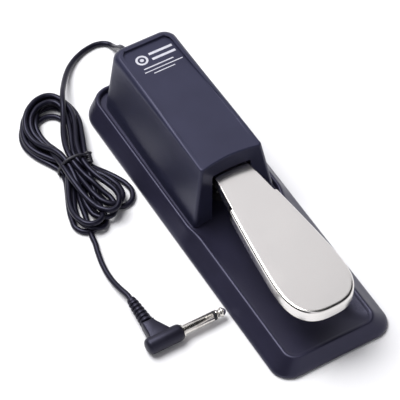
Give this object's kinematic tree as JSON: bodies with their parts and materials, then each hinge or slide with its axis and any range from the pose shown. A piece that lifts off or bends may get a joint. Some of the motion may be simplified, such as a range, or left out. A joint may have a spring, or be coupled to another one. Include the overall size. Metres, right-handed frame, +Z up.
{
  "type": "sustain pedal",
  "caption": "Piano-style sustain pedal: plated lever hinged in a tapered housing on a dished weighted base, with a coiled cord ending in a right-angle jack plug.",
  "frame": {"origin": "centre of the base's box at the floor, the free cord, its relief and its plug left out", "axes": "+Y from the toe of the lever to the rear of the housing, +Z up, +X to the side away from the coiled cord"},
  "size_m": [0.1366, 0.2936, 0.056],
  "materials": {
    "tray_abs": "satin moulded",
    "mat_rubber": "matt",
    "ballast_steel": "zinc plated",
    "housing_abs": "satin moulded",
    "lever_plate": "bright plated",
    "zinc_steel": "zinc plated",
    "bright_steel": "drawn",
    "nylon": "black moulded",
    "felt": "pressed felt",
    "stop_rubber": "matt",
    "switch_plastic": "moulded",
    "button_plastic": "moulded",
    "tinned_brass": "tinned",
    "cord_jacket": "soft PVC",
    "tie_plastic": "coated wire",
    "moulded_pvc": "soft PVC",
    "wire_red": "insulated",
    "wire_black": "insulated",
    "jack_nickel": "nickel plated"
  },
  "bodies": {
    "base": {"axle_clip_left": "bright_steel", "axle_clip_right": "bright_steel", "axle_spacer_left": "nylon", "axle_spacer_right": "nylon", "ballast_plate": "ballast_steel", "base_tray": "tray_abs", "bracket_screw_front_left": "zinc_steel", "bracket_screw_front_right": "zinc_steel", "bracket_screw_rear_left": "zinc_steel", "bracket_screw_rear_right": "zinc_steel", "cable_clamp": "nylon", "clamp_screw_left": "zinc_steel", "clamp_screw_right": "zinc_steel", "cord_hank": "cord_jacket", "cord_lead": "cord_jacket", "cord_tail": "cord_jacket", "cord_tie": "tie_plastic", "down_stop_pad": "stop_rubber", "floor_mat": "mat_rubber", "housing_screw_front_left": "zinc_steel", "housing_screw_front_right": "zinc_steel", "housing_screw_rear_left": "zinc_steel", "housing_screw_rear_right": "zinc_steel", "housing_shell": "housing_abs", "inner_jacket": "cord_jacket", "jack_insulator": "switch_plastic", "jack_sleeve": "jack_nickel", "jack_tip": "jack_nickel", "microswitch_body": "switch_plastic", "pivot_axle": "bright_steel", "pivot_bracket": "zinc_steel", "plate_screw_left": "zinc_steel", "plate_screw_right": "zinc_steel", "plug_body": "moulded_pvc", "plug_boot": "moulded_pvc", "polarity_switch_body": "switch_plastic", "return_spring": "bright_steel", "spring_cup": "nylon", "strain_relief": "moulded_pvc", "switch_bracket": "zinc_steel", "switch_foot_screw": "zinc_steel", "switch_mount_screw_front": "zinc_steel", "switch_mount_screw_rear": "zinc_steel", "switch_terminal_common": "tinned_brass", "switch_terminal_open": "tinned_brass", "up_stop_felt": "felt", "wire_black": "wire_black", "wire_red": "wire_red"},
    "lever": {"pedal_lever": "lever_plate", "spring_seat": "nylon"},
    "switch_plunger": {"microswitch_plunger": "button_plastic"},
    "polarity_knob": {"polarity_switch_knob": "button_plastic"}
  },
  "joints": [
    {"name": "pedal_hinge", "type": "hinge", "parent": "base", "child": "lever", "pos_m": [0, 0.0452, 0.033], "axis": [1, 0, 0], "range_deg": [0, 6.5], "stiffness_Nm_per_rad": 8, "springref_deg": -5.73, "deforming": ["return_spring"]},
    {"name": "plunger_slide", "type": "slide", "parent": "base", "child": "switch_plunger", "axis": [0, 0, -1], "range_m": [0, 0.0013]},
    {"name": "polarity_slide", "type": "slide", "parent": "base", "child": "polarity_knob", "axis": [1, 0, 0], "range_m": [0, 0.0042]}
  ],
  "couplings": [
    {"joint": "plunger_slide", "follows": "pedal_hinge", "m_per_rad": 0.0105}
  ]
}
